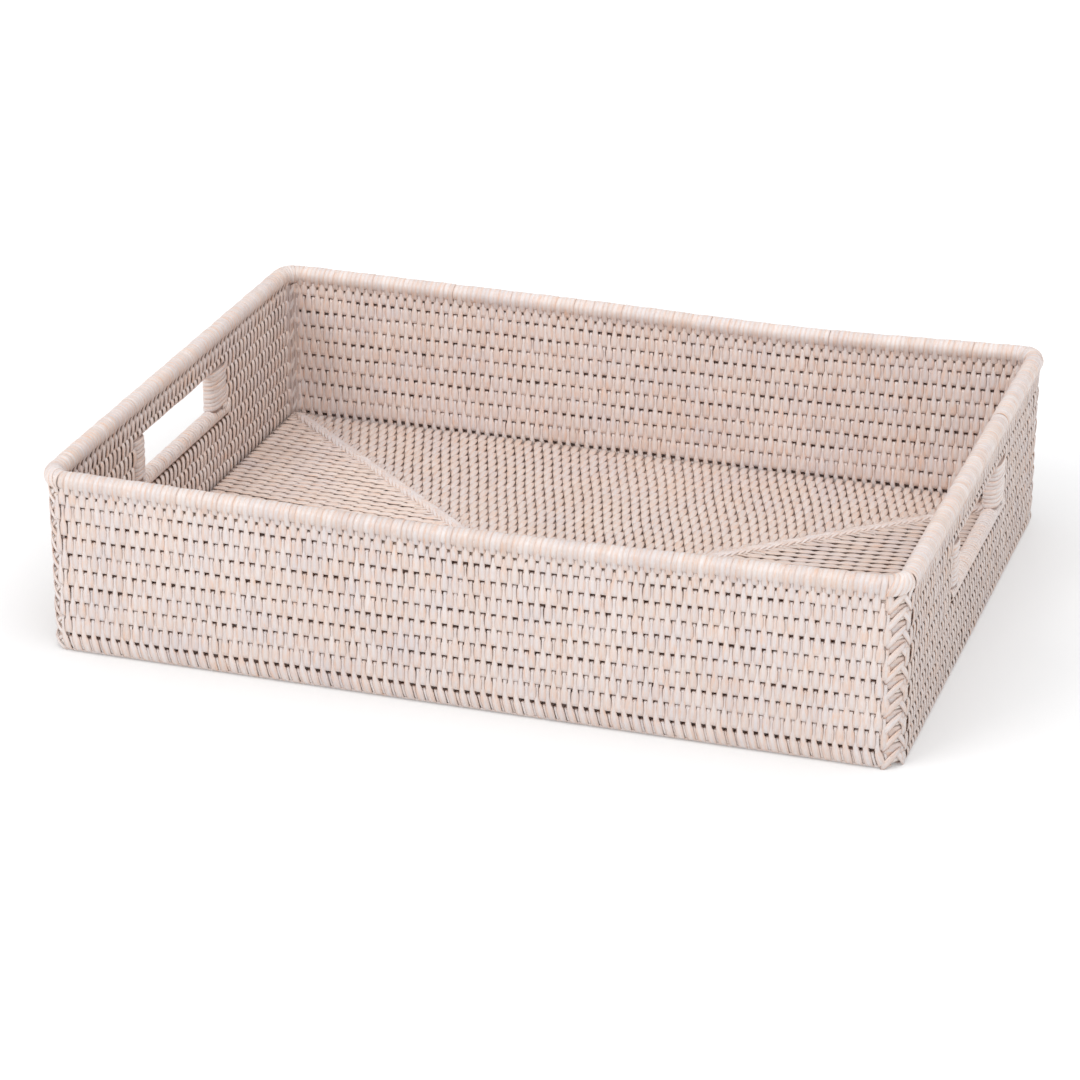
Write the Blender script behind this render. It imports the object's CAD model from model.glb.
import math

import bpy
import numpy as np
from mathutils import Matrix, Vector

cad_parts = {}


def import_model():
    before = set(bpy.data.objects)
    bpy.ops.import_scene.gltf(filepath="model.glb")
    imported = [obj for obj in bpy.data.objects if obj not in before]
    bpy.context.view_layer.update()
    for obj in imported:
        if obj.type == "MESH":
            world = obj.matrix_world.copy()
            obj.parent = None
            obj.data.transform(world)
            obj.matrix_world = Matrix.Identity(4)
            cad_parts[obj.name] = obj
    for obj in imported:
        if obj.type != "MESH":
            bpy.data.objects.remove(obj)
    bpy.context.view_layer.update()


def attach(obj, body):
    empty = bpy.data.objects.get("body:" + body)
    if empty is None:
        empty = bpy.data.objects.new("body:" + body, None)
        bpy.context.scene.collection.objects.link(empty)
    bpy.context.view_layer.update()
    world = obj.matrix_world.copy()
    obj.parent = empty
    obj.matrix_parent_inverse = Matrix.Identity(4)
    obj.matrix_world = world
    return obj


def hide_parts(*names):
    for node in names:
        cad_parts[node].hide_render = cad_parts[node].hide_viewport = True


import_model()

# ------------------------------------------------------------------ dimensions (m)
LENGTH, DEPTH, HEIGHT = 0.480, 0.358, 0.105
BINDING_R = 0.0055
POLE_R = 0.0040
ROD_R = 0.0027
WALL_T = 0.0084
CORNER_R = 0.012
FOOT_Z = 0.0046
LONG_Z = np.array([0.0904 - 0.0094 * k for k in range(9)] + [FOOT_Z])
SHORT_Z = np.array([0.0909, 0.0824, 0.0722, 0.0625, 0.0525, 0.0420, 0.0332, 0.0242, 0.0150, FOOT_Z])
HANDLE_HALF = 0.054
POST_W, POST_W_AFT, POST_T = 0.0135, 0.0215, 0.0104
POST_FAR = HANDLE_HALF + POST_W
RAIL_Z, RAIL_R = 0.0506, 0.0046
OPENING_TOP = 0.0791
MID_X, MID_Y = LENGTH / 2 - BINDING_R, DEPTH / 2 - BINDING_R
ARC_X, ARC_Y = MID_X - CORNER_R, MID_Y - CORNER_R
RIM_Z = HEIGHT - BINDING_R
EDGE_X = MID_X - WALL_T / 2 - 0.00035
EDGE_Y = MID_Y - WALL_T / 2 - 0.00035
RIDGE_HALF = 0.040
FLOOR_MID = 0.0076

STRAND_T = 0.00043      # half thickness of a strand
PITCH = 0.0029          # spacing of neighbouring strands

SECTION = np.array([(1, 0), (.68, .86), (-.68, .86), (-1, 0), (-.68, -.86), (.68, -.86)])


# ------------------------------------------------------------------ the tray's bow
def curve(points):
    xs, ys = zip(*points)
    xs, ys = np.array(xs), np.array(ys)

    def at(x):
        """A smooth curve through the points."""
        x = np.clip(x, xs[0], xs[-1])
        k = np.clip(np.searchsorted(xs, x) - 1, 0, len(xs) - 2)
        m = np.gradient(ys, xs)
        h = xs[k + 1] - xs[k]
        t = (x - xs[k]) / h
        return ((2 * t ** 3 - 3 * t ** 2 + 1) * ys[k] + (t ** 3 - 2 * t ** 2 + t) * h * m[k]
                + (-2 * t ** 3 + 3 * t ** 2) * ys[k + 1] + (t ** 3 - t ** 2) * h * m[k + 1])
    return at


bow_front = curve([(-.24, .0006), (-.12, -.0010), (0, -.0023), (.05, -.0017), (.12, .0002), (.20, .0019), (.24, .0026)])
bow_back = curve([(-.24, .0007), (-.12, -.0003), (-.03, -.0010), (.10, -.0026), (.19, 0), (.24, .0018)])


def bowed(p):
    """The rims aren't quite level: they sag and lift with the height above the foot."""
    x, y, z = p[..., 0], p[..., 1], p[..., 2]
    t = np.clip((y + MID_Y) / (2 * MID_Y), 0, 1)
    rise = np.clip(z / HEIGHT, 0, 1.05) ** 1.2
    out = p.copy()
    out[..., 2] += rise * (bow_front(x) * (1 - t) + bow_back(x) * t)
    return out


# ------------------------------------------------------------------ meshes from numpy
class Skin:
    """Gathers strands and rods and turns them in one closed-surface mesh."""

    def __init__(self, seed):
        self.rng = np.random.default_rng(seed)
        self.v, self.q, self.cane, self.wash = [], [], [], []
        self.count = 0

    def add(self, verts, quads, cane, wash):
        self.v.append(verts.reshape(-1, 3))
        self.q.append(quads.reshape(-1, 4) + self.count)
        self.cane.append(cane.reshape(-1, 3))
        self.wash.append(wash.reshape(-1))
        self.count += len(self.v[-1])

    def ribbons(self, p, side, w, t, wash, tone=None, closed=False):
        """Strands with a lens section along p (K, m, 3); side (.., 3) is across the strand."""
        k, m = p.shape[:2]
        if closed:
            tan = np.roll(p, -1, axis=1) - np.roll(p, 1, axis=1)
        else:
            tan = np.gradient(p, axis=1)
        tan /= np.linalg.norm(tan, axis=2, keepdims=True) + 1e-12
        side = np.broadcast_to(side, p.shape)
        side = side - tan * (side * tan).sum(2, keepdims=True)
        side = side / (np.linalg.norm(side, axis=2, keepdims=True) + 1e-12)
        nor = np.cross(tan, side)
        w = np.broadcast_to(w, (k, m))[:, :, None, None]
        t = np.broadcast_to(t, (k, m))[:, :, None, None]
        u = SECTION[:, 0][None, None, :, None]
        v = SECTION[:, 1][None, None, :, None]
        verts = p[:, :, None, :] + side[:, :, None, :] * w * u + nor[:, :, None, :] * t * v
        n = len(SECTION)
        base = np.arange(k)[:, None, None] * (m * n)
        rows = m if closed else m - 1
        i = np.arange(rows)[None, :, None]
        j = np.arange(n)[None, None, :]
        j2 = (j + 1) % n
        i2 = (i + 1) % m
        quads = np.stack([base + i * n + j, base + i * n + j2, base + i2 * n + j2, base + i2 * n + j], axis=-1)
        quads = quads.reshape(-1, 4)
        if not closed:
            cap = np.array([[0, 1, 2, 3], [0, 3, 4, 5]])
            last = np.arange(k)[:, None, None] * (m * n) + (m - 1) * n + cap[None]
            first = np.arange(k)[:, None, None] * (m * n) + cap[None, :, ::-1]
            quads = np.concatenate([quads, last.reshape(-1, 4), first.reshape(-1, 4)])
        length = np.concatenate([np.zeros((k, 1)), np.cumsum(np.linalg.norm(np.diff(p, axis=1), axis=2), axis=1)], axis=1)
        length = length * 1000 + self.rng.uniform(0, 900, (k, 1))
        tone = self.rng.uniform(0, 1, k) if tone is None else tone
        cane = np.stack([
            np.broadcast_to(length[:, :, None], (k, m, n)),
            np.broadcast_to((w * u)[..., 0] * 1000, (k, m, n)),
            np.broadcast_to(np.asarray(tone)[:, None, None], (k, m, n)),
        ], axis=-1)
        wash = np.broadcast_to(np.broadcast_to(wash, (k, m))[:, :, None], (k, m, n)) * (1 - 0.25 * np.abs(SECTION[:, 0]) ** 3)
        self.add(verts, quads, cane, wash)

    def rod(self, p, r, sides=8, closed=False, wash=1.0, flat=1.0):
        """A round rod along p (m, 3) with radius r."""
        m = len(p)
        tan = (np.roll(p, -1, 0) - np.roll(p, 1, 0)) if closed else np.gradient(p, axis=0)
        tan /= np.linalg.norm(tan, axis=1, keepdims=True)
        up = np.array([0, 0, 1.0]) if abs(tan[:, 2]).max() < 0.9 else np.array([1.0, 0, 0])
        side = np.cross(tan, up)
        side /= np.linalg.norm(side, axis=1, keepdims=True)
        nor = np.cross(side, tan)
        a = 2 * np.pi * np.arange(sides) / sides
        r = np.broadcast_to(r, (m,))
        verts = p[:, None, :] + (side[:, None, :] * np.cos(a)[None, :, None] * flat + nor[:, None, :] * np.sin(a)[None, :, None]) * r[:, None, None]
        rows = m if closed else m - 1
        i = np.arange(rows)[:, None]
        j = np.arange(sides)[None, :]
        j2, i2 = (j + 1) % sides, (i + 1) % m
        quads = np.stack([i * sides + j, i2 * sides + j, i2 * sides + j2, i * sides + j2], axis=-1).reshape(-1, 4)
        if not closed:
            cap = np.array([[0, 1, 2, 3], [0, 3, 4, 7], [4, 5, 6, 7]])
            quads = np.concatenate([quads, cap, (m - 1) * sides + cap[:, ::-1]])
        length = np.concatenate([[0], np.cumsum(np.linalg.norm(np.diff(p, axis=0), axis=1))]) * 1000
        cane = np.stack([
            np.broadcast_to(length[:, None] + self.rng.uniform(0, 900), (m, sides)),
            np.broadcast_to(a[None, :] * 3.0, (m, sides)),
            np.full((m, sides), self.rng.uniform()),
        ], axis=-1)
        self.add(verts, quads[:, ::-1], cane, np.broadcast_to(wash, (m, sides)))

    def block(self, x0, x1, y0, y1, z0, z1, r, tone=0.5):
        """An upright rounded core."""
        ring = []
        for cx, cy, start in ((x1 - r, y1 - r, 0), (x0 + r, y1 - r, 90), (x0 + r, y0 + r, 180), (x1 - r, y0 + r, 270)):
            for k in range(3):
                b = math.radians(start + 45 * k)
                ring.append((cx + r * math.cos(b), cy + r * math.sin(b)))
        n = len(ring)
        verts = np.array([(x, y, z) for z in (z0, z1) for x, y in ring])
        j = np.arange(n)
        quads = np.stack([j, (j + 1) % n, (j + 1) % n + n, j + n], axis=-1)
        strips = []
        for a in range(1, n // 2):
            strips.append([a - 1 if a > 1 else 0, a, n - 1 - a, n - a])
        cap = np.array(strips)
        quads = np.concatenate([quads, cap[:, ::-1], cap + n])
        cane = np.tile(np.array([[0, 0, tone]]), (2 * n, 1))
        self.add(verts, quads, cane, np.full(2 * n, 0.35))

    def build(self, name, mat, slot, nodes, warp=True):
        verts = np.concatenate(self.v)
        quads = np.concatenate(self.q).astype(np.int32)
        if warp:
            verts = bowed(verts)
        mesh = bpy.data.meshes.new(name)
        mesh.vertices.add(len(verts))
        mesh.vertices.foreach_set("co", verts.astype(np.float32).ravel())
        mesh.loops.add(quads.size)
        mesh.loops.foreach_set("vertex_index", quads.ravel())
        mesh.polygons.add(len(quads))
        mesh.polygons.foreach_set("loop_start", np.arange(0, quads.size, 4, dtype=np.int32))
        mesh.update(calc_edges=True)
        mesh.validate()
        a = mesh.attributes.new("cane", "FLOAT_VECTOR", "POINT")
        a.data.foreach_set("vector", np.concatenate(self.cane).astype(np.float32).ravel())
        b = mesh.attributes.new("wash", "FLOAT", "POINT")
        b.data.foreach_set("value", np.concatenate(self.wash).astype(np.float32).ravel())
        mesh.shade_smooth()
        mesh.materials.append(mat)
        ob = bpy.data.objects.new(name, mesh)
        bpy.context.scene.collection.objects.link(ob)
        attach(ob, "root")
        if nodes:
            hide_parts(*nodes)
        return ob


# ------------------------------------------------------------------ materials
def srgb(r, g, b):
    def lin(c):
        c = c / 255.0
        return c / 12.92 if c <= 0.04045 else ((c + 0.055) / 1.055) ** 2.4
    return (lin(r), lin(g), lin(b), 1.0)


class Nodes:
    def __init__(self, name):
        self.mat = bpy.data.materials.new(name)
        self.mat.use_nodes = True
        self.tree = self.mat.node_tree
        self.bsdf = self.tree.nodes["Principled BSDF"]

    def add(self, kind, **values):
        node = self.tree.nodes.new(kind)
        for key, value in values.items():
            setattr(node, key, value)
        return node

    def link(self, a, b):
        self.tree.links.new(a, b)

    def math(self, op, a, b=None, clamp=False):
        node = self.add("ShaderNodeMath", operation=op, use_clamp=clamp)
        for i, x in enumerate((a, b)):
            if x is None:
                continue
            if isinstance(x, (int, float)):
                node.inputs[i].default_value = x
            else:
                self.link(x, node.inputs[i])
        return node.outputs[0]

    def ramp(self, fac, stops):
        node = self.add("ShaderNodeValToRGB")
        while len(node.color_ramp.elements) < len(stops):
            node.color_ramp.elements.new(0.5)
        for e, (pos, value) in zip(node.color_ramp.elements, stops):
            e.position = pos
            e.color = value if isinstance(value, tuple) else (value, value, value, 1)
        self.link(fac, node.inputs[0])
        return node.outputs[0]

    def mix(self, fac, a, b, blend="MIX"):
        node = self.add("ShaderNodeMix", data_type="RGBA", blend_type=blend)
        for i, x in ((0, fac), (6, a), (7, b)):
            if isinstance(x, (int, float, tuple)):
                node.inputs[i].default_value = x
            else:
                self.link(x, node.inputs[i])
        return node.outputs[2]

    def noise(self, vector, scale, detail=3.0, rough=0.55, distortion=0.0):
        node = self.add("ShaderNodeTexNoise")
        node.inputs["Scale"].default_value = scale
        node.inputs["Detail"].default_value = detail
        node.inputs["Roughness"].default_value = rough
        node.inputs["Distortion"].default_value = distortion
        self.link(vector, node.inputs["Vector"])
        return node.outputs["Fac"]

    def stretched(self, vector, x, y, z):
        node = self.add("ShaderNodeVectorMath", operation="MULTIPLY")
        node.inputs[1].default_value = (x, y, z)
        self.link(vector, node.inputs[0])
        return node.outputs[0]


def cane_material(name, base, peach, pale, cool, deep, rough=(0.36, 0.56), coat=0.12, peach_amount=0.5, bump=0.35):
    """Whitewashed split cane: fibres along the strand, paint worn to the warm cane, dark recesses."""
    m = Nodes(name)
    cane = m.add("ShaderNodeAttribute", attribute_name="cane").outputs["Vector"]
    wash = m.add("ShaderNodeAttribute", attribute_name="wash").outputs["Fac"]
    place = m.add("ShaderNodeTexCoord").outputs["Object"]
    split = m.add("ShaderNodeSeparateXYZ")
    m.link(cane, split.inputs[0])
    across, tone = split.outputs[1], split.outputs[2]

    fibre = m.noise(m.stretched(cane, 0.09, 2.6, 61.0), 1.0, 4.0, 0.62, 0.15)
    fine = m.noise(m.stretched(cane, 0.30, 7.5, 97.0), 1.0, 2.0, 0.6)
    patch = m.noise(m.stretched(cane, 0.10, 0.35, 41.0), 1.0, 3.0, 0.6)
    cloud = m.noise(place, 46.0, 3.0, 0.6)
    drift = m.noise(place, 11.0, 2.0, 0.5)
    speck = m.noise(m.stretched(cane, 0.55, 1.3, 23.0), 1.0, 2.0, 0.7)

    # one strand differs from the next
    col = m.mix(m.ramp(tone, [(0.0, 0.0), (1.0, 1.0)]), base, pale)
    col = m.mix(m.math("MULTIPLY", m.ramp(cloud, [(0.42, 0.0), (0.66, 1.0)]), 0.55), col, cool)
    col = m.mix(m.math("MULTIPLY", m.ramp(drift, [(0.40, 0.0), (0.62, 1.0)]), 0.35), col, pale)
    # warm cane through the worn wash, in streaks along the fibre
    worn = m.math("MULTIPLY", m.ramp(patch, [(0.50, 0.0), (0.68, 1.0)]), m.ramp(fibre, [(0.38, 0.15), (0.62, 1.0)]))
    col = m.mix(m.math("MULTIPLY", worn, peach_amount), col, peach)
    edge = m.ramp(m.math("ABSOLUTE", across), [(0.0, 0.0), (0.62, 0.0), (1.0, 1.0)])
    edge_node = m.math("MULTIPLY", edge, m.ramp(fine, [(0.35, 0.2), (0.7, 1.0)]))
    col = m.mix(m.math("MULTIPLY", edge_node, 0.42), col, peach)
    # fibre streaks
    col = m.mix(m.math("MULTIPLY", m.ramp(fine, [(0.30, 1.0), (0.52, 0.0)]), 0.22), col, deep)
    col = m.mix(m.math("MULTIPLY", m.ramp(speck, [(0.66, 0.0), (0.76, 1.0)]), 0.45), col, srgb(244, 240, 238))
    # the wash doesn't reach the recesses
    col = m.mix(m.ramp(wash, [(0.0, 1.0), (0.30, 0.62), (0.62, 0.10), (0.85, 0.0)]), col, deep)
    m.link(col, m.bsdf.inputs["Base Color"])

    r = m.math("ADD", m.math("MULTIPLY", fibre, rough[1] - rough[0]), rough[0])
    m.link(r, m.bsdf.inputs["Roughness"])
    m.bsdf.inputs["Coat Weight"].default_value = coat
    m.bsdf.inputs["Coat Roughness"].default_value = 0.28
    m.bsdf.inputs["Specular IOR Level"].default_value = 0.5
    height = m.math("ADD", m.math("MULTIPLY", fibre, 0.7), m.math("MULTIPLY", fine, 0.5))
    b = m.add("ShaderNodeBump")
    b.inputs["Strength"].default_value = bump
    b.inputs["Distance"].default_value = 0.0004
    m.link(height, b.inputs["Height"])
    m.link(b.outputs[0], m.bsdf.inputs["Normal"])
    return m.mat


BASE = srgb(219, 205, 198)
PEACH = srgb(230, 180, 144)
PALE = srgb(233, 225, 222)
COOL = srgb(212, 207, 211)
DEEP = srgb(138, 92, 64)



def shade(colour, f):
    return (colour[0] * f, colour[1] * f, colour[2] * f, 1.0)


def toned(name, f, base=BASE, pale=PALE, **more):
    """The same whitewashed cane, a little lighter or darker."""
    return cane_material(name, shade(base, f), shade(PEACH, f), shade(pale, f), shade(COOL, f), DEEP, **more)


weave_mats = {w: toned("cane_weave_" + w, f, peach_amount=0.60)
              for w, f in (("front", 0.93), ("back", 1.07), ("left", 1.02), ("right", 0.87))}
rim_mats = {w: toned("cane_rim_" + w, f, peach_amount=0.75, coat=0.18)
            for w, f in (("front", 0.87), ("back", 0.97), ("left", 0.95), ("right", 0.94))}
floor_mats = {w: toned("cane_floor_" + w, f, base=srgb(219, 204, 195), pale=srgb(230, 219, 213), peach_amount=0.5)
              for w, f in (("front", 0.93), ("back", 0.92), ("left", 1.02), ("right", 0.89))}
weave_mat = toned("cane_lashing", 0.95, peach_amount=0.65)
binding_mat = toned("cane_binding", 0.95, peach_amount=0.75, coat=0.18)
braid_mat = toned("cane_braid", 0.97, peach_amount=0.55)
rod_mat = cane_material("peeled_rod", srgb(232, 222, 214), srgb(228, 196, 166), srgb(242, 236, 232), COOL,
                        srgb(150, 120, 98), rough=(0.42, 0.60), peach_amount=0.35, coat=0.08, bump=0.2)


# ------------------------------------------------------------------ wall coordinates
def wall_frame(wall):
    """Signs and axes: (half length of the straight run, along axis, outward axis, outward sign)."""
    return {
        "front": (ARC_X, 0, 1, -1.0, ARC_Y),
        "back": (ARC_X, 0, 1, 1.0, ARC_Y),
        "left": (ARC_Y, 1, 0, -1.0, ARC_X),
        "right": (ARC_Y, 1, 0, 1.0, ARC_X),
    }[wall]


def place(wall, s, n, z):
    """World points from the distance along a wall, outward from its mid line, and up; it turns the corners."""
    half, ax, ox, sign, base = wall_frame(wall)
    s, n, z = np.broadcast_arrays(s, n, z)
    over = np.clip(np.abs(s) - half, 0, None)
    th = over / CORNER_R * np.sign(s)
    p = np.zeros(s.shape + (3,))
    p[..., ax] = np.clip(s, -half, half) + np.sin(th) * (CORNER_R + n)
    p[..., ox] = sign * (base + np.cos(th) * (CORNER_R + n))
    p[..., 2] = z
    return p


def along(wall, s):
    """Direction along the wall at s."""
    half, ax, ox, sign, base = wall_frame(wall)
    s = np.asarray(s, float)
    th = np.clip(np.abs(s) - half, 0, None) / CORNER_R * np.sign(s)
    d = np.zeros(s.shape + (3,))
    d[..., ax] = np.cos(th)
    d[..., ox] = -sign * np.sin(th)
    return d


WALL_ID = {"front": 0, "right": 1, "back": 2, "left": 3}


def wobble(p, k):
    """Rods aren't dead straight: a slow rise and fall, the same for a rod and the strands on it."""
    a = p[..., 0] * 1.0 + p[..., 1] * 1.3
    return 0.00028 * np.sin(a * 47.0 + k * 2.1) + 0.00016 * np.sin(a * 118.0 + k * 4.7 + 1.0)


def rod_heights(wall, s):
    """Heights of the ten rods at s, shape s + (10,)."""
    half = wall_frame(wall)[0]
    s = np.asarray(s, float)
    t = np.clip((np.abs(s) - half) / (CORNER_R * math.pi / 2), 0, 1)[..., None]
    own, other = (LONG_Z, SHORT_Z) if wall in ("front", "back") else (SHORT_Z, LONG_Z)
    z = own * (1 - t) + other * t
    p = place(wall, s, 0.0, 0.0)
    w = np.stack([wobble(p, k) for k in range(10)], axis=-1)
    w[..., 9] = 0
    return z + w


def field(s, z, seed, size=0.0004):
    """A slow sideways drift shared by neighbouring strands."""
    r = np.random.default_rng(seed)
    out = np.zeros(np.broadcast(s, z).shape)
    for _ in range(5):
        a, b, c = r.uniform(20, 90), r.uniform(20, 70), r.uniform(0, 6.28)
        out = out + np.sin(a * s + b * z + c) * size * r.uniform(0.3, 0.8)
    return out


# One stitch over a rod, from where it comes out under the row above to where it goes in under the row
# below: height from the rod, distance from the mid line, half width (all mm), and how painted it is.
LEAF = np.array([           # long walls: a narrow tail above, a square end below
    (14.3, 1.10, 1.30, 0.10),
    (13.8, 2.70, 1.30, 0.80),
    (12.6, 2.98, 1.12, 1.0),
    (10.6, 3.04, 1.02, 1.0),
    (8.3, 3.12, 1.14, 1.0),
    (6.9, 3.19, 1.50, 1.0),
    (4.6, 3.28, 1.68, 1.0),
    (3.8, 3.32, 2.20, 1.0),
    (2.0, 3.38, 2.34, 1.0),
    (-1.0, 3.37, 2.36, 1.0),
    (-2.9, 3.16, 2.38, 1.0),
    (-3.35, 2.30, 2.32, 0.80),
    (-3.7, 0.40, 2.10, 0.30),
    (-4.3, -1.80, 1.90, 0.10),
])
LEAF_FOOT = np.array([       # between the stitches of the last row
    (4.3, 0.90, 1.10, 0.02),
    (3.8, 2.60, 1.10, 0.60),
    (2.6, 2.84, 0.84, 1.0),
    (0.6, 2.88, 0.74, 1.0),
    (-1.3, 2.70, 0.80, 1.0),
    (-2.7, 2.00, 0.90, 1.0),
    (-3.5, 0.60, 1.00, 0.9),
    (-3.4, -1.20, 1.00, 0.8),
])
LEAF_DEEP = np.array([      # short walls: no tail, so the slits beside it stay open
    (4.2, -1.5, 1.20, 0.0),
    (3.4, 0.3, 1.35, 0.02),
    (2.7, 1.9, 1.60, 0.30),
    (2.0, 2.95, 1.90, 0.95),
    (0.4, 3.38, 2.08, 1.0),
    (-2.2, 3.35, 2.08, 1.0),
    (-4.6, 3.14, 1.98, 1.0),
    (-6.4, 2.78, 1.76, 0.95),
    (-8.1, 2.10, 1.30, 0.5),
    (-9.6, 1.20, 0.90, 0.05),
])
TUCK = np.array([            # round the underside of the last rod
    (-1.3, 3.26, 2.20, 1.0),
    (-2.8, 2.50, 2.10, 1.0),
    (-3.75, 1.25, 1.95, 0.95),
    (-4.02, -0.30, 1.85, 0.9),
    (-3.55, -1.80, 1.75, 0.8),
    (-2.3, -2.70, 1.60, 0.6),
])
WRAP = (262, 242, 220, 198, 176, 154, 132, 110, 88, 66, 44, 22, 2, -18)


def stitch_row(skin, wall, s0, k, sign, leaf, lean=0.0, wide=1.0, last=False, first=False, tone=None, gap=None):
    """A row of stitches over rod k on one face of a wall (sign +1 outside, -1 inside)."""
    rng = skin.rng
    n_st = len(s0)
    if n_st == 0:
        return
    zr = rod_heights(wall, s0)
    shape = leaf[:9 if leaf is LEAF else 5].copy() if last else leaf.copy()
    if last:
        tuck = TUCK.copy()
        if k != 9:
            tuck[:, 0] *= 0.82
        shape = np.concatenate([shape, tuck])
    rise, off, half, wash = (shape[:, i][None, :] * f for i, f in zip(range(4), (1e-3, 1e-3, 1e-3, 1.0)))
    above = (zr[:, k - 1] - zr[:, k])[:, None] if k > 0 else np.full((n_st, 1), 0.0082)
    below = (zr[:, k] - zr[:, k + 1])[:, None] if k < 9 else np.full((n_st, 1), 0.0094)
    stretch = np.where(rise > 0, above / 0.0094, below / 0.0094)
    if last:
        stretch = np.where(rise > 0, above / 0.0094, 1.0)
    z = zr[:, k][:, None] + rise * stretch
    if gap is not None:                        # start under the bound rail instead
        z = np.minimum(z, gap)
    bump = rng.normal(0, 0.00007, (n_st, 1))
    n = sign * (off + bump * (off > 0.002))
    w = half * wide * rng.uniform(0.94, 1.05, (n_st, 1)) * np.ones((n_st, 1))
    s = s0[:, None] + field(s0[:, None], z, 40 + WALL_ID[wall], 0.00028)
    s = s + rng.normal(0, 0.00008, (n_st, 1)) + rng.normal(0, 0.016, (n_st, 1)) * (rise * np.ones((n_st, 1)))
    if leaf is LEAF:
        s = s - 0.00010 * np.clip((rise - 6.5e-3) / 3e-3, 0, 1)
    s = s + lean_of(wall, s0[:, None], z) + lean * np.clip((0.011 - z) / 0.010, 0, 1.0)
    z = z + rng.normal(0, 0.00016, (n_st, 1)) * (0.0 if last else 1.0)
    h = np.clip(wash * rng.uniform(0.92, 1.08, (n_st, 1)), 0, 1)
    skin.ribbons(place(wall, s, n, z), along(wall, s), w, STRAND_T, h, tone=tone)


def lean_of(wall, s, z):
    """On the short walls the rows below the rail slant, most of all near the middle."""
    if wall in ("front", "back"):
        return 0.0 * z
    down = np.clip((0.047 - z) / 0.047, 0, 1)
    return 0.0042 * np.exp(-((s - 0.010) / 0.042) ** 2) * down


def rim_wraps(skin, wall, s0, sign, tone, wide=1.0, leaf=LEAF, close=False):
    """Strands over the rim pole; each runs on down one face of the wall over the first rod."""
    rng = skin.rng
    n_st = len(s0)
    zr = rod_heights(wall, s0)
    N, Zs, W, H = [], [], [], []
    r_all = 0.00498 + rng.normal(0, 0.00004, n_st) + 0.00010 * np.sin(s0 * 380 + 1) + 0.00008 * np.sin(s0 * 171)
    for a in WRAP:
        b = math.radians(a)
        tucked = max(0.0, min(1.0, (a - 200) / 62.0))
        r = r_all - 0.0007 * tucked
        N.append(sign * r * math.cos(b))
        Zs.append(RIM_Z + r * math.sin(b))
        W.append(np.full(n_st, 0.00186 - 0.00030 * tucked))
        H.append(np.full(n_st, 1.0 - 0.6 * tucked ** 2))
    drop = (RIM_Z - zr[:, 0]) / 0.0091
    legs = ((3.6, 3.98, 1.88, 1.0), (4.7, 3.60, 1.74, 1.0), (6.3, 3.22, 1.58, 1.0), (8.0, 3.06, 1.06, 1.0),
            (10.3, 2.92, 0.72, 1.0))
    if leaf is LEAF:
        legs = ((3.6, 3.98, 1.88, 1.0), (4.7, 3.74, 2.06, 1.0), (5.6, 3.50, 2.22, 1.0), (6.10, 2.94, 2.26, 1.0),
                (6.35, 1.90, 2.18, 0.8), (6.60, 0.30, 2.00, 0.3), (7.0, -1.60, 1.80, 0.1))
    for fall, off, half, wash in legs:
        N.append(sign * np.full(n_st, off * 1e-3))
        Zs.append(RIM_Z - fall * 1e-3 * drop)
        W.append(np.full(n_st, half * 1e-3 * wide))
        H.append(np.full(n_st, wash))
    N, Zs, W, H = (np.stack(x, axis=1) for x in (N, Zs, W, H))
    W = W * rng.uniform(0.95, 1.05, (n_st, 1))
    s = s0[:, None] + field(s0[:, None], Zs, 40 + WALL_ID[wall], 0.00028) + rng.normal(0, 0.00010, (n_st, 1))
    s = s + (rng.normal(0, 0.00022, (n_st, 1)) + 0.0004) * np.clip((Zs - 0.096) / 0.009, 0, 1)
    skin.ribbons(place(wall, s, N, Zs), along(wall, s), W, STRAND_T, H, tone=tone)


EXT = 0.0046


def columns(lo, hi, pitch):
    """Strand positions from lo to hi with a varying pitch, stretched to end exactly at hi."""
    out = [lo]
    while out[-1] < hi:
        out.append(out[-1] + pitch(out[-1]))
    out = np.array(out)
    return lo + (out - lo) * (hi - lo) / (out[-1] - lo)


def wall_strands(wall, rng):
    if wall == "front":
        pitch = lambda x: float(np.interp(x, [-.235, 0, .235], [.00280, .00306, .00268]))
    elif wall == "back":
        pitch = lambda x: float(np.interp(x, [-.235, 0, .235], [.00290, .00292, .00288]))
    else:
        pitch = lambda x: PITCH
    half = (ARC_X if wall in ("front", "back") else ARC_Y) + EXT
    s0 = columns(-half, half, pitch)
    return s0 + rng.normal(0, 0.00006, len(s0))


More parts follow.
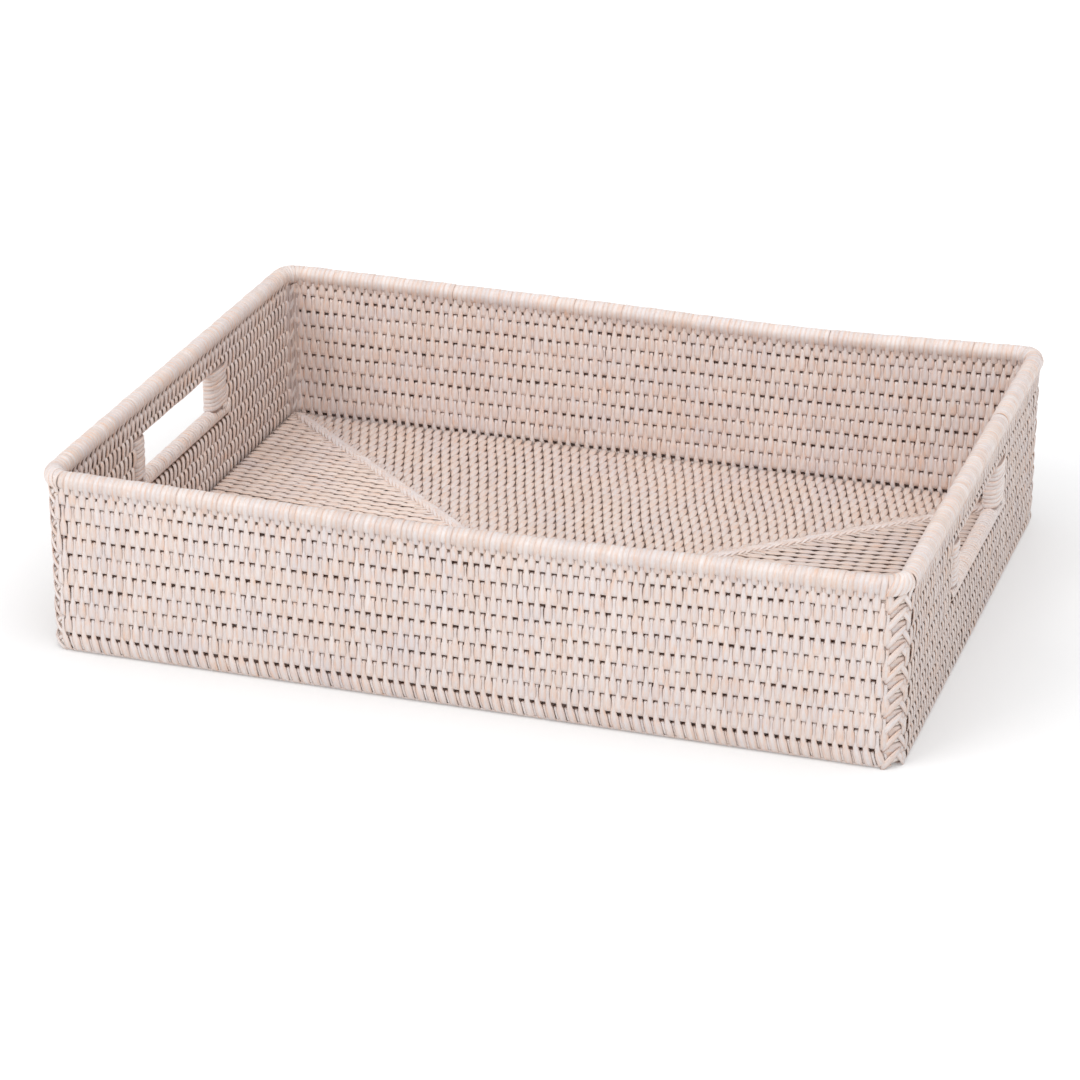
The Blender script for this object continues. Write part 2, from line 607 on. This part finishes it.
def build_wall(wall, seed):
    skin, rim = Skin(seed), Skin(seed + 20)
    rng = skin.rng
    s0 = wall_strands(wall, rng)
    idx = np.arange(len(s0))
    strand_tone = rng.uniform(0, 1, len(s0))
    long_side = wall in ("front", "back")
    leaf = LEAF if long_side else LEAF_DEEP
    scale = np.gradient(s0) / 0.0029                # wider strips where the columns are further apart
    lean = {"front": 0.0026, "back": 0.0016, "left": 0.0008, "right": 0.0008}[wall]
    mid = np.zeros(len(s0), bool) if long_side else np.abs(s0) < POST_FAR - 0.0004
    for sign in (1, -1):
        side = idx % 2 == (0 if sign == 1 else 1)
        rim_wraps(rim, wall, s0[side], sign, strand_tone[side], wide=1.0, leaf=leaf)
    for k in range(10):
        for sign in (1, -1):
            side = (idx + k) % 2 == (1 if sign == 1 else 0)
            tone = np.clip(strand_tone * 0.5 + rng.uniform(0, 0.5, len(s0)), 0, 1)
            if long_side:
                pick = [(side, k == 9, {0: RIM_Z - 0.0026, 1: RIM_Z - 0.0083}.get(k))]
            else:
                pick = [(side & ~mid, k == 9, None)]
                if k <= 1:
                    pick.append((side & mid, k == 1, None))
                elif k >= 5:
                    pick.append((side & mid, k == 9, RAIL_Z - 0.0040 if k == 5 else None))
            for sel, last, gap in pick:
                mean = float(scale[sel].mean()) if sel.any() else 1.0
                stitch_row(skin, wall, s0[sel], k, sign, leaf, lean=lean, wide=mean, last=last, tone=tone[sel], gap=gap)
            if long_side and k == 9:
                stitch_row(skin, wall, s0[~side], k, sign, LEAF_FOOT, lean=lean, tone=tone[~side])
    core(skin, wall, half_run=float(s0[-1]))
    return skin, rim


def core(skin, wall, half_run):
    """Between two rods the strands cross edge to edge and close the wall."""
    short = wall in ("left", "right")
    for k in range(-1, 9):
        spans = [(-half_run, half_run)]
        if short and 1 <= k <= 4:
            spans = [(-half_run, -POST_FAR + 0.003), (POST_FAR - 0.003, half_run)]
        for a, b in spans:
            s = np.linspace(a, b, max(3, int((b - a) / 0.006)))
            zr = rod_heights(wall, s)
            top = zr[:, k] if k >= 0 else np.full(len(s), RIM_Z)
            low = zr[:, k + 1]
            p = place(wall, s, 0.0, (top + low) / 2)
            skin.ribbons(p[None], np.broadcast_to(np.array([0, 0, 1.0]), p[None].shape),
                         ((top - low) / 2 - 0.0012)[None], 0.0004, 0.48)
    if short:
        s = np.linspace(-POST_FAR, POST_FAR, 20)
        low = rod_heights(wall, s)[:, 5]
        p = place(wall, s, 0.0, (RAIL_Z + low) / 2)
        skin.ribbons(p[None], np.broadcast_to(np.array([0, 0, 1.0]), p[None].shape),
                     ((RAIL_Z - low) / 2 - 0.0010)[None], 0.0004, 0.12)


for wall, seed in (("front", 11), ("back", 12), ("left", 13), ("right", 14)):
    skin, rim = build_wall(wall, seed)
    ends = [""] if wall in ("front", "back") else ["_fore", "_aft", "_over", "_under"]
    skin.build("cane_wall_" + wall, weave_mats[wall], "cane_weave", ["wall_weave_%s%s" % (wall, e) for e in ends])
    rim.build("cane_rim_" + wall, rim_mats[wall], "cane_binding", ["rim_binding_" + wall])

# ------------------------------------------------------------------ rods
CORNER_SIGNS = {"front_left": (-1, -1), "front_right": (1, -1), "back_right": (1, 1), "back_left": (-1, 1)}


def run_points(wall, a, b, k, step=0.004):
    """A rod's points along one wall from a to b, corners included."""
    s = np.linspace(a, b, max(2, int(abs(b - a) / step)))
    z = rod_heights(wall, s)[:, k]
    return place(wall, s, 0.0, z)


def loop_points(k):
    """A rod's points all round, counter-clockwise from above."""
    quarter = CORNER_R * math.pi / 4
    parts = []
    for wall, sign in (("front", 1), ("right", 1), ("back", -1), ("left", -1)):
        half = wall_frame(wall)[0] + quarter
        parts.append(run_points(wall, -sign * half, sign * half, k, 0.0035)[:-1])
    return np.concatenate(parts)


def u_points(side, k):
    quarter = CORNER_R * math.pi / 4
    sy = -1 if side == "front" else 1
    end = POST_FAR + 0.0008
    a = run_points("left", sy * end, sy * (ARC_Y + quarter), k, 0.0035)[:-1]
    b = run_points(side, -(ARC_X + quarter), ARC_X + quarter, k, 0.0035)[:-1]
    c = run_points("right", sy * (ARC_Y + quarter), sy * end, k, 0.0035)
    return np.concatenate([a, b, c])


def bare(p):
    """Rods show only at the corners; under the weave they stay dark and unpainted."""
    return np.where((np.abs(p[:, 0]) > ARC_X + 0.002) & (np.abs(p[:, 1]) > ARC_Y + 0.002), 1.0, 0.22)[:, None]


for k in range(10):
    base = "foot_rod" if k == 9 else "wall_rod_%d" % (k + 1)
    if k in (2, 3, 4):
        for side in ("front", "back"):
            skin = Skin(100 + k * 2 + (side == "back"))
            pts = u_points(side, k)
            skin.rod(pts, ROD_R, wash=bare(pts))
            skin.build("cane_" + base + "_" + side, rod_mat, "peeled_rod", ["%s_%s" % (base, side)])
    else:
        skin = Skin(100 + k * 2)
        pts = loop_points(k)
        skin.rod(pts, ROD_R, closed=True, wash=bare(pts))
        skin.build("cane_" + base, rod_mat, "peeled_rod", [base])

skin = Skin(140)
pole = loop_points(0)
pole[:, 2] = RIM_Z
skin.rod(pole, 0.0043, closed=True)
skin.build("cane_rim_pole", rod_mat, "peeled_rod", ["rim_pole"])


# ------------------------------------------------------------------ corners
def corner_place(sx, sy, th, n, z):
    """th runs 0..90 degrees from the long wall's end to the short wall's."""
    a = np.radians(th)
    p = np.stack(np.broadcast_arrays(sx * (ARC_X + np.sin(a) * (CORNER_R + n)),
                                     sy * (ARC_Y + np.cos(a) * (CORNER_R + n)), z), axis=-1)
    return p


def corner_heights(th):
    t = np.asarray(th) / 90.0
    return LONG_Z * (1 - t)[..., None] + SHORT_Z * t[..., None]


def corner_along(sx, sy, th):
    a = np.radians(th)
    return np.stack([sx * np.cos(a), -sy * np.sin(a), np.zeros_like(a)], axis=-1)


def corner_wraps(label, sx, sy, seed):
    """Wraps that fan out round the pole where the rim turns."""
    skin = Skin(seed)
    rng = skin.rng
    n = 9
    lo, hi = math.degrees(EXT / CORNER_R) + 3.5, 90 - math.degrees(EXT / CORNER_R) - 3.5
    th = np.linspace(lo, hi, n) + rng.normal(0, 0.5, n)
    ang = np.radians(np.arange(-80, 262, 19.0))
    m = len(ang)
    P, S, W, H = [], [], [], []
    for i in range(n):
        r = 0.0050 + (0.00035 if i % 2 else 0.0) + rng.uniform(-0.0001, 0.0001)
        off = r * np.cos(ang)
        z = RIM_Z + r * np.sin(ang)
        twist = (8.0 if label != "front_right" else 14.0) * np.sin(ang - 0.4)
        t = th[i] + twist * (0.4 + 0.6 * rng.uniform())
        P.append(corner_place(sx, sy, t, off, z))
        S.append(corner_along(sx, sy, t))
        outer = (np.cos(ang) + 1) / 2
        W.append(0.00085 + 0.00095 * outer)
        H.append(np.where((np.arange(m) < 2) | (np.arange(m) > m - 3), 0.5, 1.0))
    skin.ribbons(np.array(P), np.array(S), np.array(W), STRAND_T, np.array(H))
    return skin


def lashing(label, sx, sy, seed):
    """Strands that cross over each rod where it bends."""
    skin = Skin(seed)
    rng = skin.rng
    u = np.linspace(-1.15, 1.15, 17)
    # upright strips line the inside of the bend
    th = np.linspace(24, 66, 5)
    zz = np.linspace(0.0035, 0.0945, 40)
    phase = np.arange(5)[:, None] * math.pi
    inner = -0.00315 - 0.0003 * np.cos(zz[None] * 2 * math.pi / 0.0188 + phase)
    skin.ribbons(corner_place(sx, sy, th[:, None] + np.zeros((1, 40)), inner, zz[None] + np.zeros((5, 1))),
                 corner_along(sx, sy, th)[:, None, :], 0.00095, 0.00045, 0.55)
    # and flat strips close the outside between the rods
    tt = np.linspace(12, 78, 12)
    zc = corner_heights(tt)
    for k in range(9):
        mid = (zc[:, k] + zc[:, k + 1]) / 2
        skin.ribbons(corner_place(sx, sy, tt, 0.0024 if label == "front_right" else 0.0014, mid)[None], np.broadcast_to(np.array([0, 0, 1.0]), (1, 12, 3)),
                     ((zc[:, k] - zc[:, k + 1]) / 2 - 0.0010)[None], 0.0004, 0.90)
    P, S, W, H = [], [], [], []
    chevron = label == "front_right"
    for k in range(10):
        for way in (1, -1):
            for face in (1, -1):
                reach = 25.0 * rng.uniform(0.95, 1.05)
                mid = 45.0 + rng.normal(0, 1.2)
                t = mid + reach * u
                zc = corner_heights(t)[:, k]
                up = 0.0050 if k < 9 else 0.0036
                rise = way * face * up * np.sin(np.clip(u, -1, 1) * math.pi / 2)
                if chevron and face == 1:
                    # a front arm that climbs to the corner's edge, and a side arm that falls from it
                    if way == 1:
                        t = 18 + (u + 1.15) / 2.3 * 44
                        rise = -0.0048 + 0.0098 * np.sin((u + 1.15) / 2.3 * math.pi / 2)
                    else:
                        t = 46 + (u + 1.15) / 2.3 * 32
                        rise = 0.0046 - 0.0105 * ((u + 1.15) / 2.3) ** 1.3
                    zc = corner_heights(t)[:, k]
                    if k == 9:
                        rise = np.clip(rise, -0.0034, 1)
                high = 0.0038 if way == 1 else 0.0031
                n = face * (high * np.cos(np.clip(u / 1.15, -1, 1) * math.pi / 2) ** 0.55 - 0.0004)
                if face == 1:
                    n = n + 0.0002
                if chevron and face == 1:
                    n = 0.0025 + (0.0012 if way == 1 else 0.0008) * np.cos(np.clip(u / 1.15, -1, 1) * math.pi / 2) ** 0.6
                P.append(corner_place(sx, sy, t, n, np.clip(zc + rise, 0.0006, 0.0945)))
                S.append(np.broadcast_to(np.array([0, 0, 1.0]), (len(u), 3)))
                wide = 0.00125 if way == 1 else 0.00105
                if chevron and face == 1:
                    wide = 0.0019 if way == 1 else 0.0016
                W.append(wide * (0.75 + 0.25 * np.cos(u * 1.3)) * rng.uniform(0.92, 1.08))
                H.append(0.25 + 0.75 * np.cos(np.clip(u / 1.15, -1, 1) * math.pi / 2) ** 0.5)
    skin.ribbons(np.array(P), np.array(S), np.array(W), 0.00048, np.array(H))
    return skin


for i, (label, (sx, sy)) in enumerate(CORNER_SIGNS.items()):
    corner_wraps(label, sx, sy, 150 + i).build("cane_rim_corner_" + label, binding_mat, "cane_binding",
                                               ["rim_corner_" + label])
    lashing(label, sx, sy, 160 + i).build("cane_lashing_" + label, weave_mat, "cane_braid",
                                          ["corner_lashing_" + label])


# ------------------------------------------------------------------ handles
def helix(skin, centre, axis, length, ru, rv, pitch, tilt, u_dir, v_dir, width, flatten=0.0, steps=18):
    """One strand wound along an axis; ru and rv are the winding's half sizes."""
    turns = length / pitch
    m = int(turns * steps) + 1
    a = np.linspace(0, turns * 2 * math.pi, m)
    s = np.linspace(-length / 2, length / 2, m)
    s = s + tilt * np.cos(a)
    s = np.clip(s, -length / 2, length / 2)
    power = 1.0 / (1.0 + flatten)
    cu = np.sign(np.cos(a)) * np.abs(np.cos(a)) ** power * ru
    sv = np.sign(np.sin(a)) * np.abs(np.sin(a)) ** power * rv
    breathe = 1 + 0.02 * np.sin(a / 2 + 1.0) + 0.015 * np.sin(a * 0.37)
    p = centre + s[:, None] * axis + (cu * breathe)[:, None] * u_dir + (sv * breathe)[:, None] * v_dir
    width = width * (1 + 0.10 * np.sin(a * 0.23 + 2.0))
    skin.ribbons(p[None], axis[None, None, :] + np.zeros((1, m, 3)), width[None], STRAND_T, np.full((1, m), 1.0),
                 tone=np.array([skin.rng.uniform(0.3, 0.7)]))


X, Y, Z = np.eye(3)
for i, (side, sx) in enumerate((("left", -1), ("right", 1))):
    skin = Skin(170 + i)
    span = (2 * POST_FAR - 0.0004) / 12            # a dozen strands, end to end
    for q in range(12):
        helix(skin, np.array([sx * MID_X, (q - 5.5) * span, RAIL_Z]), Y, span + 0.0004, 0.00436, 0.00436, span / 4, 0.0009,
              X, Z, 0.00140)
    skin.build("cane_rail_binding_" + side, binding_mat, "cane_binding", ["handle_rail_binding_" + side])
    skin = Skin(174 + i)
    ys = np.linspace(-POST_FAR + 0.0004, POST_FAR - 0.0004, 30)
    skin.rod(np.stack([np.full(30, sx * MID_X), ys, np.full(30, RAIL_Z)], axis=-1), 0.0034)
    skin.build("cane_rail_rod_" + side, rod_mat, "peeled_rod", ["handle_rail_rod_" + side])
    for j, (end, sy) in enumerate((("fore", -1), ("aft", 1))):
        skin = Skin(180 + 2 * i + j)
        z0, z1 = RAIL_Z + 0.0040, OPENING_TOP + 0.0006
        broad = POST_W if end == "fore" else POST_W_AFT
        cy = sy * (POST_FAR - broad / 2)
        skin.block(sx * MID_X - POST_T / 2 + 0.0008, sx * MID_X + POST_T / 2 - 0.0008,
                   cy - broad / 2 + 0.0008, cy + broad / 2 - 0.0008, z0, z1, 0.0034)
        helix(skin, np.array([sx * MID_X, cy, (z0 + z1) / 2]), Z, z1 - z0, POST_T / 2 - 0.0005, broad / 2 - 0.0005,
              0.0026, 0.0005, X, Y, 0.00150, flatten=0.55, steps=24)
        skin.build("cane_post_%s_%s" % (side, end), binding_mat, "cane_binding", ["handle_post_%s_%s" % (side, end)])

# ------------------------------------------------------------------ floor
RINGS_Y, RINGS_X = 18, 21          # rods from the walls to the ridge, and from the short walls to its ends
STEP_Y = EDGE_Y / (RINGS_Y + 0.5)
STEP_X = (EDGE_X - RIDGE_HALF) / (RINGS_X + 0.5)
SLOPE = EDGE_Y / (EDGE_X - RIDGE_HALF)
RUN = np.array([EDGE_X - RIDGE_HALF, EDGE_Y])
RUN = RUN / np.linalg.norm(RUN)
BEND_R = 0.015          # how tightly a strand turns along the seam
LAP = 0.0055            # how far it then runs along it


TOP_LEAF = np.array([       # along (in ring steps), up (mm), half width (mm), paint
    (-0.94, 1.0, 0.85, 0.30),
    (-0.72, 1.95, 1.16, 0.90),
    (-0.52, 2.34, 1.74, 1.0),
    (-0.32, 2.46, 2.28, 1.0),
    (0.00, 2.54, 2.48, 1.0),
    (0.32, 2.46, 2.28, 1.0),
    (0.52, 2.34, 1.74, 1.0),
    (0.72, 1.95, 1.16, 0.90),
    (0.94, 1.0, 0.85, 0.30),
])
SIDE_LEAF = np.array([      # side panels: broad over the rod, so they close up there
    (-0.92, 0.6, 0.70, 0.10),
    (-0.72, 1.75, 1.22, 0.85),
    (-0.50, 2.28, 1.72, 1.0),
    (-0.24, 2.48, 2.74, 1.0),
    (0.00, 2.54, 2.98, 1.0),
    (0.24, 2.48, 2.74, 1.0),
    (0.50, 2.28, 1.72, 1.0),
    (0.72, 1.75, 1.22, 0.85),
    (0.92, 0.6, 0.70, 0.10),
])
SLANT = {"front": -0.09, "back": 0.09, "left": -0.09, "right": -0.09}
DRIFT = {"front": 0.0001, "back": 0.0002, "left": -0.00091, "right": -0.00091}      # sideways, each ring


def floor_panel(label, seed):
    skin = Skin(seed)
    rng = skin.rng
    long_side = label in ("front", "back")
    sign = -1.0 if label in ("front", "left") else 1.0
    step = STEP_Y if long_side else STEP_X
    rings = RINGS_Y if long_side else RINGS_X
    edge = EDGE_Y if long_side else EDGE_X
    half = EDGE_X if long_side else EDGE_Y
    pitch = 0.00296
    count = int(2 * half / pitch)
    xs = (np.arange(count) - (count - 1) / 2) * pitch + rng.normal(0, 0.00008, count)
    seam = np.array([RUN[1], RUN[0]]) if long_side else np.array([RUN[0], RUN[1]])     # (v, c) inwards
    turn = math.acos(seam[0])
    inset = BEND_R * (1 - math.cos(turn)) + 0.0007
    v0 = step * 0.5 + 0.0002
    if long_side:
        meet = np.where(np.abs(xs) < RIDGE_HALF + 0.0005, EDGE_Y, EDGE_Y - (np.abs(xs) - RIDGE_HALF) * SLOPE)
        ridge = np.abs(xs) < RIDGE_HALF + 0.0005
    else:
        meet = (EDGE_X - RIDGE_HALF) - np.abs(xs) / SLOPE
        ridge = np.zeros(count, bool)
    stop = np.where(ridge, meet - 0.0008, meet - inset / seam[1])
    strand_tone = rng.uniform(0, 1, count)

    def world(v, c, z):
        if long_side:
            return np.stack(np.broadcast_arrays(c, sign * (edge - v), z), axis=-1)
        return np.stack(np.broadcast_arrays(sign * (edge - v), c, z), axis=-1)

    def swell(v, c):
        """The floor isn't dead flat."""
        x, y = (c, edge - v) if long_side else (edge - v, c)
        return 0.00035 * np.sin(x * 31 + 1.0) * np.sin(y * 27 + 0.5)

    leaf = TOP_LEAF if long_side else SIDE_LEAF
    for j in range(rings):
        for face in (1, -1):
            par = (np.arange(count) + (j if long_side else 0)) % 2 == (0 if face == 1 else 1)
            cj = xs + DRIFT[label] * j
            if long_side:
                stop_j = np.where(np.abs(cj) < RIDGE_HALF + 0.0005, EDGE_Y - 0.0008,
                                  EDGE_Y - (np.abs(cj) - RIDGE_HALF) * SLOPE - inset / seam[1])
            else:
                stop_j = (EDGE_X - RIDGE_HALF) - np.abs(cj) / SLOPE - inset / seam[1]
            sel = par & (stop_j > v0 + (j - 0.35) * step) & (np.abs(cj) < half)
            if not sel.any():
                continue
            c0 = cj[sel][:, None]
            n_st = len(c0)
            v = v0 + j * step + leaf[:, 0][None] * step + rng.normal(0, 0.00018, (n_st, 1))
            v = np.maximum(v, 0.0002)
            limit = stop_j[sel][:, None] + 0.7 * step
            v = np.minimum(v, limit)
            along_v = (v - (v0 + j * step))
            c = c0 + SLANT[label] * face * along_v * (1 if long_side else -sign * 1.0) * (1.0 if long_side else -1.0)
            c = c + field(c0 + 0 * v, v, 60 + WALL_ID[label], 0.00022) + rng.normal(0, 0.00010, (n_st, 1))
            z = FLOOR_MID + face * leaf[:, 1][None] * 1e-3 + swell(v, c) + rng.normal(0, 0.00005, (n_st, 1))
            w = leaf[:, 2][None] * 1e-3 * rng.uniform(0.94, 1.05, (n_st, 1))
            h = leaf[:, 3][None] * rng.uniform(0.93, 1.0, (n_st, 1))
            tone = np.clip(strand_tone[sel] * 0.5 + rng.uniform(0, 0.5, n_st), 0, 1)
            across = world(np.zeros(1), np.ones(1), np.zeros(1)) - world(np.zeros(1), np.zeros(1), np.zeros(1))
            skin.ribbons(world(v, c, z), across, w, 0.00036, h, tone=tone)
    # strands that sweep round into the seam
    for i in np.nonzero(~ridge & (stop > -0.004))[0]:
        x = xs[i]
        st = max(stop[i], 0.0006)
        a = np.linspace(0, turn, 8)
        inward = -np.sign(x) if abs(x) > 1e-5 else 1.0
        r = BEND_R * rng.uniform(0.92, 1.05)
        lap = np.linspace(0, LAP * rng.uniform(0.7, 1.3), 5)[1:]
        lead = np.array([-0.9, -0.45]) * step
        v = np.concatenate([st + lead, st + r * np.sin(a), st + r * math.sin(turn) + lap * seam[0]])
        c = np.concatenate([[x, x], x + inward * r * (1 - np.cos(a)), x + inward * (r * (1 - math.cos(turn)) + lap * seam[1])])
        v = np.maximum(v, 0.0002)
        g = np.linspace(0, 1, len(v))
        z = FLOOR_MID + 0.00205 + 0.0011 * np.sin(np.pi * np.clip(g * 1.15 - 0.05, 0, 1)) ** 0.8 - 0.0012 * g ** 2
        z[0] -= 0.0022
        w = 0.00150 * np.sin(np.pi * np.clip(0.10 + 0.84 * g, 0, 1)) ** 0.45
        h = 0.35 + 0.65 * np.sin(np.pi * np.clip(g, 0, 1)) ** 0.5
        p = world(v, c + field(np.full_like(v, x), v, 60 + WALL_ID[label], 0.00022), z + swell(v, c))
        tan = np.gradient(p, axis=0)
        across = np.stack([-tan[:, 1], tan[:, 0], np.zeros(len(tan))], axis=-1)
        across /= np.linalg.norm(across, axis=1, keepdims=True) + 1e-12
        skin.ribbons(p[None], across[None], w[None], 0.00046, h[None])
        low = p.copy()
        low[:, 2] = 2 * FLOOR_MID - low[:, 2]
        skin.ribbons(low[None], across[None], w[None], 0.00046, h[None])
    for j in range(rings):
        v = v0 + j * step
        lim = (EDGE_X - v / SLOPE if long_side else EDGE_Y - v * SLOPE) - 0.002
        if lim < 0.002:
            continue
        n = max(3, int(2 * lim / 0.008))
        t = np.linspace(-lim, lim, n)
        skin.rod(world(np.full(n, v), t, np.full(n, FLOOR_MID)), 0.0020, sides=8, wash=0.34)
        q = world(np.full(n, v + step / 2), t, np.full(n, FLOOR_MID))
        across = world(np.ones(1), np.zeros(1), np.zeros(1)) - world(np.zeros(1), np.zeros(1), np.zeros(1))
        skin.ribbons(q[None], np.broadcast_to(across, q.shape)[None], step / 2 - 0.0010, 0.0004, 0.30)
    return skin


for i, label in enumerate(("front", "back", "left", "right")):
    floor_panel(label, 200 + i).build("cane_floor_" + label, floor_mats[label], "cane_weave", ["floor_weave_" + label])


def braid(seed, start, end, pitch=0.0046, reach=0.0175, half=0.0026):
    """Long leaf-shaped stitches that cross a joint at a small angle, each over the next."""
    skin = Skin(seed)
    rng = skin.rng
    start, end = np.array(start, float), np.array(end, float)
    length = np.linalg.norm(end - start)
    d = (end - start) / length
    nrm = np.array([-d[1], d[0]])
    u = np.linspace(0, 1, 11)
    P, S, W, H = [], [], [], []
    for row in (1, -1):
        n = int(length / pitch)
        for i in range(n + 1):
            reach_i = reach * rng.uniform(0.85, 1.1)
            a = i * pitch + (0.5 * pitch if row == -1 else 0.0) - reach_i * 0.5 + rng.normal(0, 0.0004)
            al = np.clip(a + reach_i * u, 0.0, length)
            ac = row * half * np.cos(np.pi * u) * rng.uniform(0.85, 1.15) + row * 0.0004
            z = FLOOR_MID + 0.0012 + 0.0023 * np.sin(np.pi * np.clip(u * 0.96 + 0.02, 0, 1)) ** 0.6 - 0.0003 * u
            q = start[None] + al[:, None] * d + ac[:, None] * nrm
            P.append(np.concatenate([q, z[:, None]], axis=1))
            S.append(np.broadcast_to(np.array([nrm[0], nrm[1], 0]), (len(u), 3)))
            W.append(0.00150 * np.sin(np.pi * np.clip(u * 0.9 + 0.06, 0, 1)) ** 0.6 * rng.uniform(0.85, 1.15))
            H.append(0.30 + 0.70 * np.sin(np.pi * u) ** 0.6)
    P, S, W, H = np.array(P), np.array(S), np.array(W), np.array(H)
    good = np.linalg.norm(P[:, -1, :2] - P[:, 0, :2], axis=1) > 0.005
    skin.ribbons(P[good], S[good], W[good], 0.00046, H[good])
    core = np.linspace(0, 1, max(3, int(length / 0.008)))[:, None]
    line = np.concatenate([start[None] + (end - start)[None] * core, np.full((len(core), 1), FLOOR_MID)], axis=1)
    skin.rod(line, 0.0022, wash=0.3)
    return skin


for i, (label, (sx, sy)) in enumerate(CORNER_SIGNS.items()):
    braid(220 + i, (sx * (RIDGE_HALF + 0.001), sy * 0.0009), (sx * (EDGE_X - 0.0035), sy * (EDGE_Y - 0.0032))).build(
        "cane_braid_" + label, braid_mat, "cane_braid", ["floor_braid_" + label])
braid(230, (-RIDGE_HALF, 0), (RIDGE_HALF, 0)).build("cane_braid_ridge", braid_mat, "cane_braid", ["floor_braid_ridge"])

# ------------------------------------------------------------------ stage
floor_mesh = bpy.data.meshes.new("stage_floor")
floor_mesh.from_pydata([(-6, -6, 0), (6, -6, 0), (6, 6, 0), (-6, 6, 0)], [], [(0, 1, 2, 3)])
floor_ob = bpy.data.objects.new("stage_floor", floor_mesh)
bpy.context.scene.collection.objects.link(floor_ob)
fm = bpy.data.materials.new("stage_floor")
fm.use_nodes = True
fb = fm.node_tree.nodes["Principled BSDF"]
fb.inputs["Base Color"].default_value = (0.66, 0.66, 0.66, 1)
fb.inputs["Roughness"].default_value = 1.0
fb.inputs["Specular IOR Level"].default_value = 0.0
fb.inputs["Emission Color"].default_value = (1, 1, 1, 1)
ftree = fm.node_tree
fplace = ftree.nodes.new("ShaderNodeTexCoord")
flen = ftree.nodes.new("ShaderNodeVectorMath")
flen.operation = "LENGTH"
fmap = ftree.nodes.new("ShaderNodeMapRange")
fmap.inputs["From Min"].default_value = 0.27
fmap.inputs["From Max"].default_value = 0.75
fmap.inputs["To Min"].default_value = 0.20
fmap.inputs["To Max"].default_value = 0.60
ftree.links.new(fplace.outputs["Object"], flen.inputs[0])
ftree.links.new(flen.outputs["Value"], fmap.inputs["Value"])
ftree.links.new(fmap.outputs["Result"], fb.inputs["Emission Strength"])
floor_mesh.materials.append(fm)


def area_light(name, location, target, size, size_y, power, colour=(1, 1, 1)):
    data = bpy.data.lights.new(name, "AREA")
    data.shape = "RECTANGLE"
    data.size, data.size_y = size, size_y
    data.energy = power
    data.color = colour
    ob = bpy.data.objects.new(name, data)
    ob.location = location
    ob.rotation_euler = (Vector(target) - Vector(location)).to_track_quat("-Z", "Y").to_euler()
    bpy.context.scene.collection.objects.link(ob)
    return ob


area_light("key", (-1.3, -1.9, 2.0), (0, 0, 0.05), 1.5, 1.5, 31.0, (1.0, 0.99, 0.98))
area_light("top", (0.7, -0.5, 2.4), (0, 0, 0.0), 2.2, 2.2, 29.0)

world = bpy.data.worlds.new("studio")
world.use_nodes = True
world.node_tree.nodes["Background"].inputs[0].default_value = (0.98, 0.985, 1.0, 1)
world.node_tree.nodes["Background"].inputs[1].default_value = 0.74
bpy.context.scene.world = world
bpy.context.scene.view_settings.view_transform = "Standard"
bpy.context.scene.view_settings.look = "None"
bpy.context.scene.view_settings.exposure = 0.0
bpy.context.scene.view_settings.gamma = 1.0

# ------------------------------------------------------------------ camera
az, el, roll = math.radians(17.99), math.radians(23.59), math.radians(0.12)
target = Vector((0.00648, -0.06005, 0.04982))
back = Vector((math.sin(az) * math.cos(el), -math.cos(az) * math.cos(el), math.sin(el)))
cam_data = bpy.data.cameras.new("camera")
cam = bpy.data.objects.new("camera", cam_data)
bpy.context.scene.collection.objects.link(cam)
fwd = -back
right = fwd.cross(Vector((0, 0, 1))).normalized()
up = right.cross(fwd)
r2 = right * math.cos(roll) + up * math.sin(roll)
u2 = up * math.cos(roll) - right * math.sin(roll)
rot = Matrix((r2, u2, back)).transposed()
cam.rotation_mode = "QUATERNION"
cam.rotation_quaternion = rot.to_quaternion()
cam.location = target + back * 2.048
cam_data.sensor_fit = "HORIZONTAL"
cam_data.sensor_width = 36.0
cam_data.lens = 3728.0 / 1080.0 * 36.0
cam_data.clip_start, cam_data.clip_end = 0.05, 50.0
cam_data.dof.use_dof = False
bpy.context.scene.camera = cam
